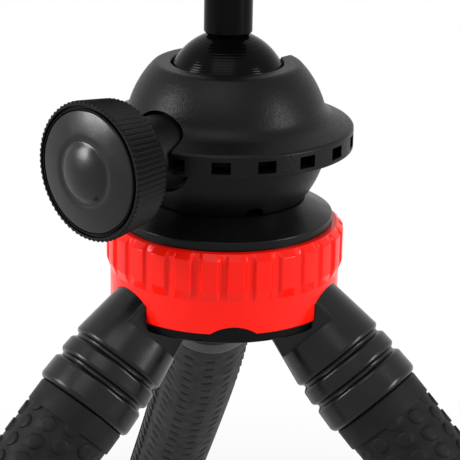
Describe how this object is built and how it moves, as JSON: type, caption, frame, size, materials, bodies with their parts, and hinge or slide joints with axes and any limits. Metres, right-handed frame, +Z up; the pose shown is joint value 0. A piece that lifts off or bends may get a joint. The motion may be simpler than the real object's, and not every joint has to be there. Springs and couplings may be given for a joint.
{
  "type": "flexible leg tripod",
  "caption": "Table-top camera tripod with a ball head, a clamp knob and bendable rubber-covered legs on a toothed ring hub.",
  "frame": {"origin": "centre of the camera seat, on the camera thread's axis, at the top of the rubber pad", "axes": "+Z up the stem along the camera thread, -Y to the front, midway between the two front legs"},
  "size_m": [0.2666, 0.2328, 0.2378],
  "materials": {
    "black_plastic": "fine moulded grain, satin",
    "knob_plastic": "fine grain, satin",
    "black_metal": "gloss black, turned",
    "red_plastic": "smooth, satin gloss",
    "collar_plastic": "smooth satin",
    "sleeve_rubber": "matt rubber with raised dots",
    "foot_rubber": "matt rubber",
    "pad_rubber": "matt rubber",
    "nylon": "natural nylon",
    "steel": "plated steel",
    "brass": "turned brass",
    "core_aluminium": "soft annealed wire"
  },
  "bodies": {
    "base": {"grip_ring": "red_plastic", "hub_body": "black_plastic", "hub_cover": "black_plastic", "cover_screws": "steel", "base_plate": "black_plastic", "centre_bolt": "steel", "pan_washer": "nylon", "pan_nut": "steel", "left_collar": "collar_plastic", "left_sleeve_1": "sleeve_rubber", "left_core_1": "core_aluminium", "right_collar": "collar_plastic", "right_sleeve_1": "sleeve_rubber", "right_core_1": "core_aluminium", "back_collar": "collar_plastic", "back_sleeve_1": "sleeve_rubber", "back_core_1": "core_aluminium"},
    "head": {"dome_shell": "black_plastic", "bowl_shell": "black_plastic", "ball_seat": "nylon", "clamp_insert": "brass"},
    "brake": {"brake_shoe": "nylon"},
    "knob": {"knob_body": "knob_plastic", "knob_cap": "knob_plastic", "clamp_screw": "steel"},
    "ball": {"ball": "black_metal"},
    "stem": {"stem": "black_metal", "camera_screw": "steel"},
    "lock_wheel": {"lock_wheel": "black_metal", "seat_pad": "pad_rubber"},
    "left_leg_2": {"left_sleeve_2": "sleeve_rubber", "left_core_2": "core_aluminium"},
    "left_leg_3": {"left_sleeve_3": "sleeve_rubber", "left_core_3": "core_aluminium"},
    "left_leg_4": {"left_sleeve_4": "sleeve_rubber", "left_core_4": "core_aluminium", "left_foot": "foot_rubber"},
    "right_leg_2": {"right_sleeve_2": "sleeve_rubber", "right_core_2": "core_aluminium"},
    "right_leg_3": {"right_sleeve_3": "sleeve_rubber", "right_core_3": "core_aluminium"},
    "right_leg_4": {"right_sleeve_4": "sleeve_rubber", "right_core_4": "core_aluminium", "right_foot": "foot_rubber"},
    "back_leg_2": {"back_sleeve_2": "sleeve_rubber", "back_core_2": "core_aluminium"},
    "back_leg_3": {"back_sleeve_3": "sleeve_rubber", "back_core_3": "core_aluminium"},
    "back_leg_4": {"back_sleeve_4": "sleeve_rubber", "back_core_4": "core_aluminium", "back_foot": "foot_rubber"}
  },
  "joints": [
    {"name": "head_pan", "type": "hinge", "parent": "base", "child": "head", "pos_m": [0, 0, -0.06147], "axis": [0, 0, 1], "continuous": true},
    {"name": "clamp_slide", "type": "slide", "parent": "head", "child": "brake", "axis": [-0.7314, -0.682, 0], "range_m": [0, 0.001]},
    {"name": "knob_turn", "type": "hinge", "parent": "brake", "child": "knob", "pos_m": [-0.02245, -0.02094, -0.04827], "axis": [-0.7314, -0.682, 0], "range_deg": [0, 360]},
    {"name": "ball_tilt", "type": "hinge", "parent": "head", "child": "ball", "pos_m": [0, 0, -0.03907], "axis": [-0.682, 0.7314, 0], "range_deg": [-35, 90]},
    {"name": "stem_spin", "type": "hinge", "parent": "ball", "child": "stem", "pos_m": [0, 0, -0.03907], "axis": [0, 0, 1], "continuous": true},
    {"name": "wheel_turn", "type": "hinge", "parent": "stem", "child": "lock_wheel", "pos_m": [0, 0, -0.008], "axis": [0, 0, 1], "continuous": true},
    {"name": "left_bend_1", "type": "hinge", "parent": "base", "child": "left_leg_2", "pos_m": [-0.04671, -0.02697, -0.12077], "axis": [-0.5, 0.866, 0], "range_deg": [-40, 40]},
    {"name": "left_sway_2", "type": "hinge", "parent": "left_leg_2", "child": "left_leg_3", "pos_m": [-0.07463, -0.04309, -0.15358], "axis": [-0.6436, -0.3716, 0.6691], "range_deg": [-40, 40]},
    {"name": "left_bend_3", "type": "hinge", "parent": "left_leg_3", "child": "left_leg_4", "pos_m": [-0.10129, -0.05848, -0.18776], "axis": [-0.5, 0.866, 0], "range_deg": [-38, 40]},
    {"name": "right_bend_1", "type": "hinge", "parent": "base", "child": "right_leg_2", "pos_m": [0.04671, -0.02697, -0.12077], "axis": [-0.5, -0.866, 0], "range_deg": [-40, 40]},
    {"name": "right_sway_2", "type": "hinge", "parent": "right_leg_2", "child": "right_leg_3", "pos_m": [0.07463, -0.04309, -0.15358], "axis": [0.6436, -0.3716, 0.6691], "range_deg": [-40, 40]},
    {"name": "right_bend_3", "type": "hinge", "parent": "right_leg_3", "child": "right_leg_4", "pos_m": [0.10129, -0.05848, -0.18776], "axis": [-0.5, -0.866, 0], "range_deg": [-38, 40]},
    {"name": "back_bend_1", "type": "hinge", "parent": "base", "child": "back_leg_2", "pos_m": [0, 0.05393, -0.12077], "axis": [0.9945, 0.1045, 0], "range_deg": [-40, 40]},
    {"name": "back_sway_2", "type": "hinge", "parent": "back_leg_2", "child": "back_leg_3", "pos_m": [-0.00337, 0.086, -0.15358], "axis": [-0.1163, 0.734, 0.6691], "range_deg": [-40, 40]},
    {"name": "back_bend_3", "type": "hinge", "parent": "back_leg_3", "child": "back_leg_4", "pos_m": [-0.00819, 0.1164, -0.18776], "axis": [0.9877, 0.1564, 0], "range_deg": [-38, 40]}
  ],
  "couplings": [
    {"joint": "knob_turn", "follows": "clamp_slide", "rad_per_m": 6283.2}
  ]
}
